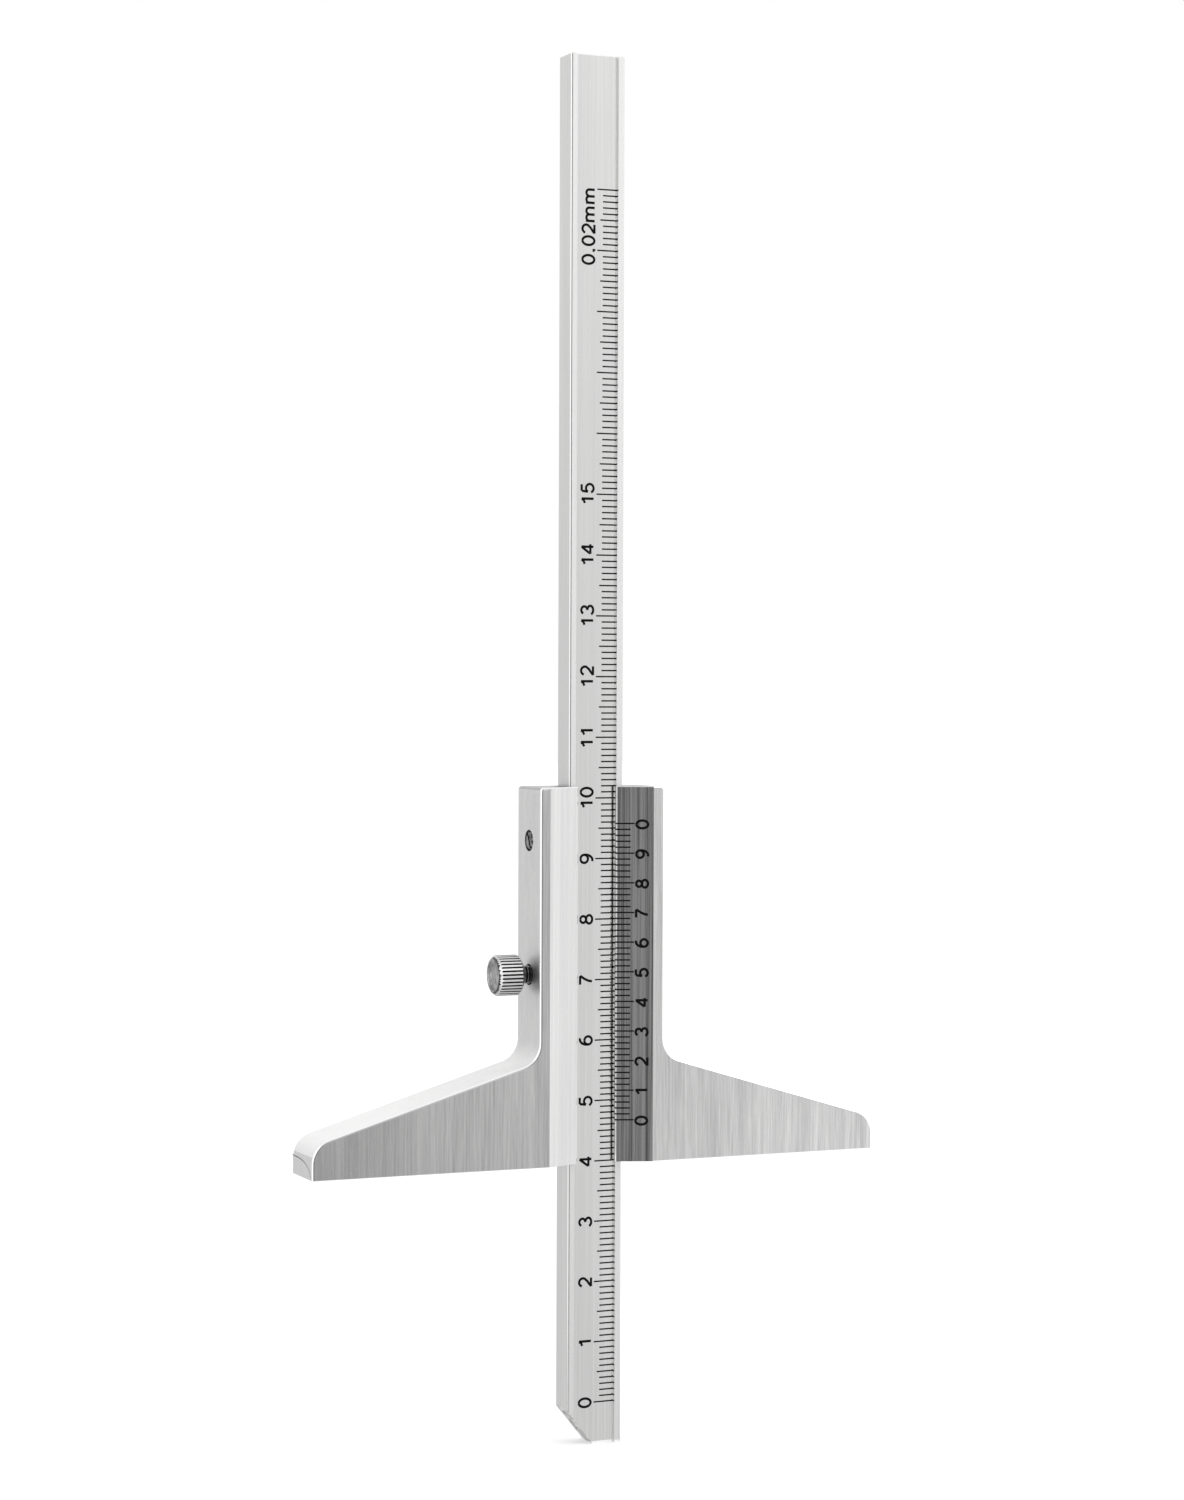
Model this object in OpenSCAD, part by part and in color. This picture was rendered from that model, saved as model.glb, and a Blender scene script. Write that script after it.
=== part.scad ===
// Vernier depth gauge, 0 to 150 mm. A graduated beam slides up and down
// in a channel through the middle of a broad base. The base stands on the work,
// the foot of the beam reaches down into the hole, and the vernier scale on the
// bevel beside the beam reads how far it reaches.
// Millimetres. X runs along the base, Y from front to back, Z up the beam.
// Z = 0 is the foot of the beam, X = 0 its middle, Y = 0 the middle of the base.

/* [Setting] */
// How far the beam reaches below the base
reading = 46.8; // [5:0.1:120]

/* [Beam] */
// Width of the beam
beam_w = 9.6; // [9:0.1:11]
// Thickness of the beam from the rails to its back
beam_t = 5; // [4:0.1:5.5]
// Width of the raised rail on each side of the scale
rail_w = 1.15; // [0.8:0.05:1.3]
// Depth of the scale face below the rails
scale_recess = 0.6; // [0.3:0.05:0.9]
// Length of the foot below the zero line
foot_len = 6.9; // [6.5:0.1:8]
// Length of the graduated scale
scale_len = 200; // [180:10:220]
// Plain length above the last line
tail_len = 22; // [10:1:40]
// Width left flat on the foot, beside its slanted corner
foot_flat = 4.8; // [3:0.1:6]
// Height of the slanted corner on the foot
foot_bevel_h = 6; // [3:0.1:6.3]
// Small chamfer along the long edges of the beam
edge_break = 0.2; // [0.1:0.05:0.4]

/* [Base and slider] */
// Length of the base
base_w = 100; // [80:1:150]
// Thickness of base and slider from front to back
body_d = 10; // [9.5:0.1:12]
// Height of the sloping top at the ends of the base
arm_end_h = 5.6; // [5:0.1:9]
// Height of the sloping top where it meets the slider
arm_root_h = 17.4; // [14:0.1:22]
// Radius of the rounded ends of the base
arm_end_r = 4; // [2:0.5:4.5]
// Radius in the corner between base and slider
arm_root_r = 4; // [2:0.5:6]
// Width of the slider
slider_w = 22; // [21:0.1:26]
// Height of the slider above the measuring face
slider_h = 62; // [58:0.5:75]
// Radius of the two upper corners of the slider
slider_top_r = 0.6; // [0.4:0.1:2]
// Width of the flat rim outside each bevel
rim_w = 1.8; // [1:0.1:2.2]
// How far the rails lie behind the front of the slider
beam_setback = 2.8; // [2.4:0.05:3]
// How far each lip laps over the beam
lip_lap = 1.38; // [1.2:0.02:1.5]
// Thickness of a lip at its edge
lip_edge = 0.5; // [0.3:0.05:0.7]

/* [Fits] */
// Gap between the rails and the lips
lip_gap = 0.08; // [0.04:0.01:0.12]
// Gap between the beam and the plain wall of the channel
wall_gap = 0.1; // [0.05:0.01:0.15]
// Gap between the back of the beam and the channel
back_gap = 0.1; // [0.05:0.01:0.15]
// Gap between pieces that press on each other when locked
seat_gap = 0.05; // [0.03:0.01:0.08]
// Radial gap round a screw in its hole
screw_gap = 0.05; // [0.03:0.01:0.08]

/* [Gib spring] */
// Space for the spring between the beam and the channel wall
gib_space = 1.2; // [1.1:0.05:1.4]
// Thickness of the spring strip
gib_t = 0.4; // [0.3:0.05:0.5]
// Width of the spring strip
gib_w = 3.6; // [3:0.1:4]
// Length of the flat middle of the spring
gib_flat_len = 30; // [20:1:34]
// Distance from each end of the channel to the spring
gib_end_gap = 2; // [1.5:0.1:3]
// Depth of the bent tab at each end of the spring
gib_tab = 0.9; // [0.6:0.1:1.2]
// Gap round a tab in its notch
notch_gap = 0.2; // [0.1:0.05:0.3]

/* [Screws] */
// Outside diameter of the screw threads
thread_d = 3; // [2.5:0.1:3.2]
// Pitch of the screw threads
thread_pitch = 0.5; // [0.4:0.05:0.6]
// Depth of the screw threads
thread_depth = 0.25; // [0.15:0.05:0.3]
// Height of the lock screw above the measuring face
lock_h = 31.2; // [28:0.1:36]
// Distance of the adjusting screw below the slider's top
adjust_drop = 8.8; // [8:0.1:12]
// Diameter of the knurled head
head_d = 6.7; // [5.5:0.1:9]
// Length of the knurled head
head_len = 4.4; // [3:0.1:8]
// Chamfer on both ends of the head
head_chamfer = 0.45; // [0.2:0.05:0.5]
// Gap between the head and the slider when locked
head_gap = 1.85; // [1.5:0.05:3]
// Number of knurl grooves
knurl_count = 34; // [24:1:48]
// Depth of the knurl grooves
knurl_depth = 0.16; // [0.1:0.02:0.3]
// Diameter of the dished face on the end of the head
dish_d = 5; // [3:0.1:5.4]
// Depth of the dished face
dish_depth = 0.12; // [0.05:0.01:0.2]
// Length of the brass shoe in front of the lock screw
shoe_len = 1.8; // [1.4:0.1:2.2]
// Length of the adjusting screw
adjust_len = 5.3; // [4:0.1:5.4]
// Width of the slot in the adjusting screw
slot_w = 0.5; // [0.4:0.05:0.7]
// Depth of the slot in the adjusting screw
slot_depth = 0.7; // [0.5:0.05:1]
// How much wider a screw hole is at its mouth
mouth_flare = 0.22; // [0.1:0.02:0.4]

/* [Scales] */
// Distance between two lines on the beam
line_pitch = 1; // [1:1:2]
// Width of an engraved line
line_w = 0.24; // [0.1:0.01:0.3]
// Depth of an engraved line
line_depth = 0.08; // [0.05:0.01:0.12]
// Gap between a line and the rim of the wall that it runs up
line_inset = 0.05; // [0.03:0.01:0.15]
// Length of a millimetre line
line_short = 2.5; // [1.8:0.1:2.7]
// Length of a five millimetre line
line_mid = 2.95; // [2.5:0.05:3.2]
// Length of a centimetre line
line_long = 3.5; // [3:0.1:3.8]
// Number of divisions on the vernier
vernier_divs = 50; // [20:10:50]
// Length of a plain vernier line
vernier_short = 2.35; // [2:0.05:2.7]
// Length of a numbered vernier line
vernier_long = 3; // [2.8:0.1:3.4]

/* [Hidden] */
$fn = 64;
// How far a cutting shape runs past the face that it cuts
past = 1;

// The body's main planes
body_front = -body_d / 2;
rail_front = body_front + beam_setback;
scale_face = rail_front + scale_recess;
beam_back = rail_front + beam_t;
lip_back = rail_front - lip_gap;
lip_front = lip_back - lip_edge;
channel_back = beam_back + back_gap;

// Places across the slider, measured from the middle of the beam
beam_side = beam_w / 2;
slider_side = slider_w / 2;
wall_plain = beam_side + wall_gap;
wall_gib = beam_side + gib_space;
lip_x = beam_side - lip_lap;
rim_x = slider_side - rim_w;

// The bevels, from the rim down to the edge of the lip
bevel_run = rim_x - lip_x;
bevel_drop = lip_front - body_front;
bevel_angle = atan2(bevel_drop, bevel_run);

// The beam
beam_len = foot_len + scale_len + tail_len;
recess_x = beam_side - rail_w;

// The outline of the base
base_side = base_w / 2;
slope = atan2(arm_root_h - arm_end_h, base_side - slider_side);

// The spring, the shoe and the screws, along the axis of the screws
gib_near = beam_side + seat_gap;
gib_far = gib_near + gib_t;
gib_low = gib_end_gap;
gib_high = slider_h - gib_end_gap;
gib_flat_low = (slider_h - gib_flat_len) / 2;
gib_flat_high = gib_flat_low + gib_flat_len;
gib_end_x = wall_gib - seat_gap;
gib_y = (rail_front + beam_back) / 2;
shoe_near = gib_far + seat_gap;
shoe_far = shoe_near + shoe_len;
lock_tip = shoe_far + seat_gap;
head_near = slider_side + head_gap;
thread_r = thread_d / 2;
hole_r = thread_r + screw_gap;
head_r = head_d / 2;
tip_r = thread_r - thread_depth - 0.2;
adjust_h = slider_h - adjust_drop;
// The back of the spring where the upper rim of the adjusting screw's tip meets it
adjust_tip = gib_back_at(adjust_h + tip_r) + seat_gap;

// The vernier reads true when its zero stands as high above the measuring
// face as the beam's zero stands above the foot
vernier_zero = foot_len;
vernier_pitch = line_pitch * (vernier_divs - 1) / vernier_divs;

// Distance of the spring's back from the middle of the beam, at height h
function gib_back_at(h) =
    gib_far + (gib_end_x - gib_far) * max(0, h - gib_flat_high) / (gib_high - gib_flat_high);

// How long the line number i on the beam is
function beam_line_len(i) =
    i % 10 == 0 ? line_long : i % 5 == 0 ? line_mid : line_short;

// Everything that the slider carries stands as high as the reading
module on_slider() {
    translate([0, 0, reading]) children();
}

// A shape drawn in X and Z, as thick as t and centred on y
module upright(t, y = 0) {
    translate([0, y + t / 2, 0])
        rotate([90, 0, 0])
            linear_extrude(t) children();
}

// Something drawn upwards along Z that now runs out to the left of the beam,
// at height h, starting at distance x from the middle
module to_the_left(h, x) {
    translate([-x, 0, h])
        rotate([0, -90, 0]) children();
}

// One rounded end of the base, as the sector that fills its corner
module arm_end_round() {
    c = [base_side - arm_end_r,
         arm_end_h + arm_end_r * tan(slope) - arm_end_r / cos(slope)];
    on_slope = c + arm_end_r * [sin(slope), cos(slope)];
    intersection() {
        translate(c) circle(arm_end_r);
        polygon([c, [base_side, c.y], [base_side, arm_end_h], on_slope]);
    }
}

// The fillet in one corner between base and slider
module arm_root_fillet() {
    c = [slider_side + arm_root_r,
         arm_end_h + (base_side - slider_side - arm_root_r) * tan(slope)
         + arm_root_r / cos(slope)];
    on_slope = c - arm_root_r * [sin(slope), cos(slope)];
    difference() {
        polygon([[slider_side, arm_root_h], on_slope, c, [slider_side, c.y]]);
        translate(c) circle(arm_root_r);
    }
}

// The right half of the outline of base and slider, seen from the front
module half_outline() {
    c = [base_side - arm_end_r,
         arm_end_h + arm_end_r * tan(slope) - arm_end_r / cos(slope)];
    on_slope = c + arm_end_r * [sin(slope), cos(slope)];
    top = [slider_side - slider_top_r, slider_h - slider_top_r];
    polygon([[0, 0], [base_side, 0], [base_side, c.y], c, on_slope,
             [slider_side, arm_root_h], [slider_side, top.y], top,
             [top.x, slider_h], [0, slider_h]]);
    arm_end_round();
    arm_root_fillet();
    intersection() {
        translate(top) circle(slider_top_r);
        translate(top) square(slider_top_r);
    }
}

// The opening through the slider, seen from above: the channel for the beam,
// the slit between the lips, and the two bevels that open it to the front
module channel_section() {
    flare = bevel_run * past / bevel_drop;
    polygon([[-rim_x - flare, body_front - past], [-lip_x, lip_front],
             [-lip_x, lip_back], [-wall_gib, lip_back],
             [-wall_gib, channel_back], [wall_plain, channel_back],
             [wall_plain, lip_back], [lip_x, lip_back],
             [lip_x, lip_front], [rim_x + flare, body_front - past]]);
}

// A threaded hole through the wall on the spring's side
module screw_hole(h) {
    to_the_left(h, wall_gib - past)
        cylinder(h = slider_side - wall_gib + 2 * past, r = hole_r);
    to_the_left(h, slider_side - mouth_flare)
        cylinder(h = 2 * mouth_flare, r1 = hole_r, r2 = hole_r + 2 * mouth_flare);
}

// The notch in the channel wall that holds one tab of the spring
module tab_notch(h) {
    depth = gib_tab + notch_gap;
    high = gib_t + 2 * notch_gap;
    translate([-wall_gib - depth, gib_y - gib_w / 2 - notch_gap, h - high / 2])
        cube([depth + notch_gap, gib_w + 2 * notch_gap, high]);
}

// A screw thread drawn as rings, from z = 0 up to len, with a chamfered tip below
module thread_rings(len) {
    root = thread_r - thread_depth;
    turns = floor((len - thread_depth) / thread_pitch);
    start = len - turns * thread_pitch;
    crests = [for (i = [0 : turns - 1])
        for (p = [[root, 0], [thread_r, 0.4], [thread_r, 0.6]])
            [p.x, start + (i + p.y) * thread_pitch]];
    rotate_extrude()
        polygon(concat([[0, 0], [tip_r, 0], [root, start - 0.02]], crests,
                       [[root, len], [0, len]]));
}

// One engraved line, drawn in X and Y, as high as line_w and centred on height h
module line_at(h) {
    translate([0, 0, h - line_w / 2])
        linear_extrude(line_w) children();
}

// The lines of the vernier. Each runs down the right bevel and over the edge of
// the lip, sunk by line_depth. extra makes it stand proud, for cutting the groove
module vernier_bars(extra = 0) {
    along = [cos(bevel_angle), -sin(bevel_angle)];
    inward = [sin(bevel_angle), cos(bevel_angle)];
    corner = [lip_x, lip_front];
    inner = corner + line_depth * inward
        + line_depth * (1 - sin(bevel_angle)) / cos(bevel_angle) * along;
    low = lip_back - line_inset;
    for (i = [0 : vernier_divs]) {
        end = corner + (i % 5 == 0 ? vernier_long : vernier_short) * along;
        line_at(vernier_zero + i * vernier_pitch)
            polygon([[lip_x - extra, low], [lip_x - extra, lip_front - extra],
                     end - extra * inward, end + line_depth * inward, inner,
                     [inner.x, low]]);
    }
}

// The lines of the beam's scale. Each crosses the scale face and runs up the inner
// wall of the right rail, sunk by line_depth. extra makes it stand proud
module beam_bars(extra = 0) {
    wall_x = recess_x - extra;
    rim_y = rail_front + line_inset;
    for (i = [0 : scale_len / line_pitch]) {
        start = recess_x - beam_line_len(i);
        line_at(foot_len + i * line_pitch)
            polygon([[start, scale_face - extra], [wall_x, scale_face - extra],
                     [wall_x, rim_y], [recess_x + line_depth, rim_y],
                     [recess_x + line_depth, scale_face + line_depth],
                     [start, scale_face + line_depth]]);
    }
}

// Base and slider, one piece of steel
module slider_base() {
    color("silver") on_slider() difference() {
        upright(body_d) {
            half_outline();
            mirror([1, 0]) half_outline();
        }
        translate([0, 0, -past]) linear_extrude(slider_h + 2 * past) channel_section();
        screw_hole(lock_h);
        screw_hole(adjust_h);
        tab_notch(gib_low);
        tab_notch(gib_high);
        vernier_bars(extra = 0.2);
    }
}

// The cross section of the beam, with its recessed scale face and broken edges
module beam_section() {
    e = edge_break;
    x = beam_side;
    polygon([[-x + e, rail_front], [-recess_x, rail_front], [-recess_x, scale_face],
             [recess_x, scale_face], [recess_x, rail_front], [x - e, rail_front],
             [x, rail_front + e], [x, beam_back - e], [x - e, beam_back],
             [-x + e, beam_back], [-x, beam_back - e], [-x, rail_front + e]]);
}

// The graduated beam, with one corner of its foot cut away
module beam() {
    cut_w = beam_w - foot_flat;
    color("gainsboro") difference() {
        linear_extrude(beam_len) beam_section();
        upright(2 * body_d)
            polygon([[-beam_side + cut_w + past * cut_w / foot_bevel_h, -past],
                     [-beam_side - past * cut_w / foot_bevel_h, foot_bevel_h + past],
                     [-beam_side - past * cut_w / foot_bevel_h, -past]]);
        beam_bars(extra = 0.2);
    }
}

// The bowed leaf spring that presses the beam against the plain wall
module gib_spring() {
    // The side towards the beam, from the lower end to the upper
    near = [[-gib_end_x + gib_t, gib_low], [-gib_near, gib_flat_low],
            [-gib_near, gib_flat_high], [-gib_end_x + gib_t, gib_high]];
    tab_x = -wall_gib - gib_tab;
    color("lightsteelblue") on_slider()
        upright(gib_w, gib_y)
            polygon([[tab_x, gib_low - gib_t / 2], near[0] - [0, gib_t / 2],
                     near[1], near[2], near[3] + [0, gib_t / 2],
                     [tab_x, gib_high + gib_t / 2], [tab_x, gib_high - gib_t / 2],
                     [-gib_end_x, gib_high - gib_t / 2], [-gib_far, gib_flat_high],
                     [-gib_far, gib_flat_low], [-gib_end_x, gib_low + gib_t / 2],
                     [tab_x, gib_low + gib_t / 2]]);
}

// The slotted screw that sets how hard the spring presses
module gib_adjusting_screw() {
    color("darkgray") on_slider()
        to_the_left(adjust_h, adjust_tip)
            difference() {
                thread_rings(adjust_len);
                rotate([0, 0, 30])
                    translate([-thread_d, -slot_w / 2, adjust_len - slot_depth])
                        cube([2 * thread_d, slot_w, slot_depth + past]);
            }
}

// The brass shoe between the lock screw and the spring
module lock_shoe() {
    color("goldenrod") on_slider()
        to_the_left(lock_h, shoe_near)
            cylinder(h = shoe_len, r = thread_r);
}

// The knurled head of the lock screw, standing on z = 0
module knurled_head() {
    c = head_chamfer;
    difference() {
        rotate_extrude()
            polygon([[0, 0], [head_r - c, 0], [head_r, c], [head_r, head_len - c],
                     [head_r - c, head_len], [dish_d / 2, head_len],
                     [dish_d / 2 - dish_depth, head_len - dish_depth],
                     [0, head_len - dish_depth]]);
        for (i = [0 : knurl_count - 1])
            rotate([0, 0, i * 360 / knurl_count])
                translate([head_r, 0, -past])
                    rotate([0, 0, -45])
                        translate([-knurl_depth / sqrt(2), -knurl_depth / sqrt(2), 0])
                            cube([1, 1, head_len + 2 * past]);
    }
}

// The lock screw, thread and knurled head in one
module lock_screw() {
    color("gray") on_slider() {
        to_the_left(lock_h, lock_tip) thread_rings(head_near - lock_tip);
        to_the_left(lock_h, head_near) knurled_head();
    }
}

// Black filling in the lines of the beam's scale
module beam_scale_lines() {
    color("black") beam_bars();
}

// Black filling in the lines of the vernier
module vernier_scale_lines() {
    color("black") on_slider() vernier_bars();
}

slider_base();
beam();
gib_spring();
gib_adjusting_screw();
lock_shoe();
lock_screw();
beam_scale_lines();
vernier_scale_lines();
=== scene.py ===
"""Looks of a vernier depth gauge: ground and satin steel, filled numbers, a studio and the camera.

The solids come packed, in metres, with Z up the beam and the graduated front towards -Y. This
script bevels copies of the pieces whose edges show, dresses every piece, lays the numbers on both
scales, and lights it all. The classes hold the gauge's sizes in mm, and the studio's in metres.
"""

from __future__ import annotations

import logging
import math
from collections.abc import Iterable, Iterator
from contextlib import contextmanager
from dataclasses import dataclass, field, replace
from enum import Enum
from functools import cached_property

import bpy
from mathutils import Matrix, Vector

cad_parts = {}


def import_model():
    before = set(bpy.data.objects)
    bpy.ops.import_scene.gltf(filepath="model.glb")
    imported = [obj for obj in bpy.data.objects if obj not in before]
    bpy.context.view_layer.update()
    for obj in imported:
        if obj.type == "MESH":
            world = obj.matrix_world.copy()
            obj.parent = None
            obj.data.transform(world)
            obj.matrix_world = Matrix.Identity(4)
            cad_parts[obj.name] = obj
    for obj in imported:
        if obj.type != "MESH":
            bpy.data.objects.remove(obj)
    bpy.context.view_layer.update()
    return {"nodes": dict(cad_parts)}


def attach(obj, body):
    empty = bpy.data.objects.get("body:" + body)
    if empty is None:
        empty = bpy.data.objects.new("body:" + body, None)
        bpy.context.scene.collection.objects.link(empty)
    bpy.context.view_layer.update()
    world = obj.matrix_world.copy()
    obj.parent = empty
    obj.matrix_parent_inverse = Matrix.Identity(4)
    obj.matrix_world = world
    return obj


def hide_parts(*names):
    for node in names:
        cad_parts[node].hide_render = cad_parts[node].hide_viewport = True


logging.basicConfig(level=logging.INFO, format="%(name)s: %(message)s")
LOG = logging.getLogger("depth_gauge")

MM = 0.001
TOLERANCE = 0.02  # mm, how far a point may be from the line or plane that it lies on
SHARP = 40.0  # degrees, from which an edge is a corner
STRAIGHT = 0.99  # a normal with more than this along an axis points along it
SCREW_HEIGHTS = (78.0, 100.0)  # mm, where the lock screw and the adjusting screw sit
WARM = 0.005  # how much less blue than red a warm grey has
NODE_STEP = 190  # how far apart shader nodes are laid out
EDGE_FINISH = 1  # the material index of rounded edges

Piece = bpy.types.Object
Socket = bpy.types.NodeSocket
Colour = tuple[float, float, float]
Point = tuple[float, float]
Stroke = list[Point]
Span = tuple[float, float]
Rule = dict[str, Span]  # the spans that some measures of a point or a face must lie in

LEVEL: Span = (-0.1, 0.1)  # of a normal along an axis that it is square to


class Slot(Enum):
    """The record's material slots."""

    BODY = "body_steel"
    BEAM = "beam_steel"
    SPRING = "spring_steel"
    SCREW = "screw_steel"
    KNURL = "knurled_steel"
    BRASS = "brass"
    ENAMEL = "black_enamel"


class Pick(Enum):
    """What is selected in edit mode."""

    CORNERS = "VERT"
    EDGES = "EDGE"
    FACES = "FACE"


# Bench work: picking, copying, rounding and shading.


def at(value: float) -> Span:
    """The span close round a measure in mm."""
    return value - TOLERANCE, value + TOLERANCE


def over(value: float) -> Span:
    """All that is more than a value."""
    return value, math.inf


def under(value: float) -> Span:
    """All that is less than a value."""
    return -math.inf, value


def point_measures(point: Vector) -> dict[str, float]:
    """The place of a point in mm, and how far it is from the middle and from a screw's axis."""
    radius = min(math.hypot(point.y, point.z - height) for height in SCREW_HEIGHTS)
    return {"x": point.x, "y": point.y, "z": point.z, "away": abs(point.x), "radius": radius}


def fits(measures: dict[str, float], rule: Rule) -> bool:
    """Whether all measures that a rule names lie within its spans."""
    return all(low < measures[key] < high for key, (low, high) in rule.items())


def only(piece: Piece) -> None:
    """Selects one piece and nothing else, and makes it the active one.

    Args:
        piece: the object to work on.
    """
    bpy.ops.object.select_all(action="DESELECT")
    piece.select_set(True)
    bpy.context.view_layer.objects.active = piece


@contextmanager
def editing(piece: Piece, pick: Pick = Pick.FACES) -> Iterator[None]:
    """Keeps a piece in edit mode for the length of a with block.

    Args:
        piece: the mesh to edit.
        pick: what is selected.

    Yields:
        Nothing.
    """
    only(piece)
    bpy.ops.object.mode_set(mode="EDIT")
    bpy.ops.mesh.select_mode(type=pick.value)
    try:
        yield
    finally:
        bpy.ops.object.mode_set(mode="OBJECT")


def merged_copy(node: Piece, name: str) -> Piece:
    """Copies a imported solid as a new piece, with its doubles merged and its flat faces made whole.

    Args:
        node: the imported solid.
        name: the name of the new piece.

    Returns:
        The new piece, at the origin.
    """
    piece = bpy.data.objects.new(name, node.data.copy())
    piece.data.name = name
    piece.data.materials.clear()
    bpy.context.scene.collection.objects.link(piece)
    with editing(piece, Pick.CORNERS):
        bpy.ops.mesh.select_all(action="SELECT")
        bpy.ops.mesh.customdata_custom_splitnormals_clear()
        bpy.ops.mesh.remove_doubles(threshold=1e-7)
        bpy.ops.mesh.dissolve_limited(angle_limit=math.radians(0.2))
    return piece


@dataclass(frozen=True)
class Rounding:
    """How one kind of edge is rounded, and the rules that pick its edges.

    The width is how far the rounding runs into each face, in mm. An edge is picked where it is
    sharper than a number of degrees and both its ends fit one rule, in which "peak" is how high
    the higher end is.
    """

    rules: tuple[Rule, ...]
    width: float
    segments: int
    sharp: float = SHARP
    finish: int = EDGE_FINISH

    def picks(self, ends: list[Vector], angle: float) -> bool:
        """Whether an edge is rounded.

        Args:
            ends: its two ends, in mm.
            angle: its angle, in degrees.

        Returns:
            Whether it is.
        """
        peak = {"peak": max(end.z for end in ends)}
        both = [point_measures(end) | peak for end in ends]
        return angle > self.sharp and any(all(fits(m, rule) for m in both) for rule in self.rules)

    def apply(self, piece: Piece) -> int:
        """Rounds the edges that the rules pick.

        Args:
            piece: the mesh.

        Returns:
            How many edges were rounded.
        """
        mesh = piece.data
        normals: dict[tuple[int, int], list[Vector]] = {}
        for face in mesh.polygons:
            for key in face.edge_keys:
                normals.setdefault(tuple(sorted(key)), []).append(face.normal.copy())
        for group in (mesh.vertices, mesh.edges, mesh.polygons):
            group.foreach_set("select", [False] * len(group))
        count = 0
        for edge in mesh.edges:
            sides = normals.get(tuple(sorted(edge.vertices)), [])
            if len(sides) != 2:
                continue
            ends = [mesh.vertices[i].co / MM for i in edge.vertices]
            if self.picks(ends, math.degrees(sides[0].angle(sides[1], 0.0))):
                edge.select = True
                count += 1
        if count:
            with editing(piece, Pick.EDGES):
                bpy.ops.mesh.bevel(
                    offset=self.width * MM, offset_type="OFFSET", segments=self.segments,
                    profile=0.5, affect="EDGES", clamp_overlap=False, material=self.finish,
                )
        return count


def smooth(piece: Piece, angle: float) -> None:
    """Shades a piece smooth up to an angle, with its flat faces kept flat.

    Args:
        piece: the mesh.
        angle: edges sharper than this many degrees stay sharp.
    """
    only(piece)
    bpy.ops.object.shade_smooth_by_angle(angle=math.radians(angle))
    bpy.ops.object.modifier_add(type="WEIGHTED_NORMAL")
    modifier = piece.modifiers[-1]
    modifier.weight = 90
    modifier.keep_sharp = True
    bpy.ops.object.modifier_apply(modifier=modifier.name)


# Finishes: node helpers, shared effects, and each metal.


def grey(level: float, less_blue: float = 0.0) -> Colour:
    """A grey, with a little less blue where it is warm."""
    return level, level, level - less_blue


@dataclass
class NodeBench:
    """Adds and wires shader nodes in one tree."""

    tree: bpy.types.NodeTree

    def add(self, kind: str, **settings: object) -> bpy.types.Node:
        """Adds a node.

        Args:
            kind: the node's type name.
            settings: its properties, and what its inputs take, by name.

        Returns:
            The node.
        """
        node = self.tree.nodes.new(kind)
        node.location.x = NODE_STEP * len(self.tree.nodes)
        for key, value in settings.items():
            if hasattr(node, key):
                setattr(node, key, value)
            else:
                self.feed(value, node.inputs[key])
        return node

    def feed(self, value: Socket | Colour | float, target: Socket) -> None:
        """Wires an output to an input, or writes a colour, a vector or a number there.

        Args:
            value: what the input takes.
            target: the input.
        """
        if isinstance(value, Socket):
            self.tree.links.new(value, target)
        else:
            target.default_value = (*value, 1.0) if target.type == "RGBA" else value

    def maths(
        self,
        operation: str,
        first: Socket | float,
        second: Socket | float = 0.0,
        clamp: bool = False,
    ) -> Socket:
        """Adds a Math node.

        Args:
            operation: what it does, such as MULTIPLY.
            first: a socket or a number.
            second: a socket or a number.
            clamp: whether the result stays within 0 and 1.

        Returns:
            The result's socket.
        """
        node = self.add("ShaderNodeMath", operation=operation, use_clamp=clamp)
        for index, value in enumerate((first, second)):
            self.feed(value, node.inputs[index])
        return node.outputs[0]

    def mask(self, swing: Socket, gain: float) -> Socket:
        """A mask round a half, from a value that swings round 0."""
        return self.maths("ADD", self.maths("MULTIPLY", swing, gain), 0.5, clamp=True)

    def contrasted(self, value: Socket, contrast: Socket, gain: float) -> Socket:
        """A mask from a value that swings round a half, with a contrast and a plain gain."""
        centred = self.maths("SUBTRACT", value, 0.5)
        return self.mask(self.maths("MULTIPLY", centred, contrast), gain)

    def split(self, vector: Socket) -> bpy.types.NodeOutputs:
        """The parts X, Y and Z of a vector."""
        return self.add("ShaderNodeSeparateXYZ", Vector=vector).outputs

    def distance(self, first: Socket, second: Socket) -> Socket:
        """How far a point with two coordinates is from their origin."""
        squares = [self.maths("MULTIPLY", part, part) for part in (first, second)]
        return self.maths("SQRT", self.maths("ADD", *squares))

    def ease(self, value: Socket, span: Iterable[float]) -> Socket:
        """Carries a value smoothly from one span to another.

        Args:
            value: the value.
            span: where it starts and ends, and what it becomes there.

        Returns:
            The result's socket.
        """
        ends = dict(zip(("From Min", "From Max", "To Min", "To Max"), span))
        kind = {"interpolation_type": "SMOOTHSTEP"}
        return self.add("ShaderNodeMapRange", Value=value, **kind, **ends).outputs["Result"]

    def blend(self, share: Socket, first: Socket | Colour, second: Socket | Colour) -> Socket:
        """Mixes two colours, by how much of the second one shows."""
        mixed = self.add("ShaderNodeMix", data_type="RGBA", Factor=share, A=first, B=second)
        return mixed.outputs["Result"]

    def effect(self, tree: bpy.types.NodeTree, **takes: Socket | float) -> bpy.types.NodeOutputs:
        """The outputs of a shared effect, from what its inputs take."""
        return self.add("ShaderNodeGroup", node_tree=tree, **takes).outputs


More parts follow.
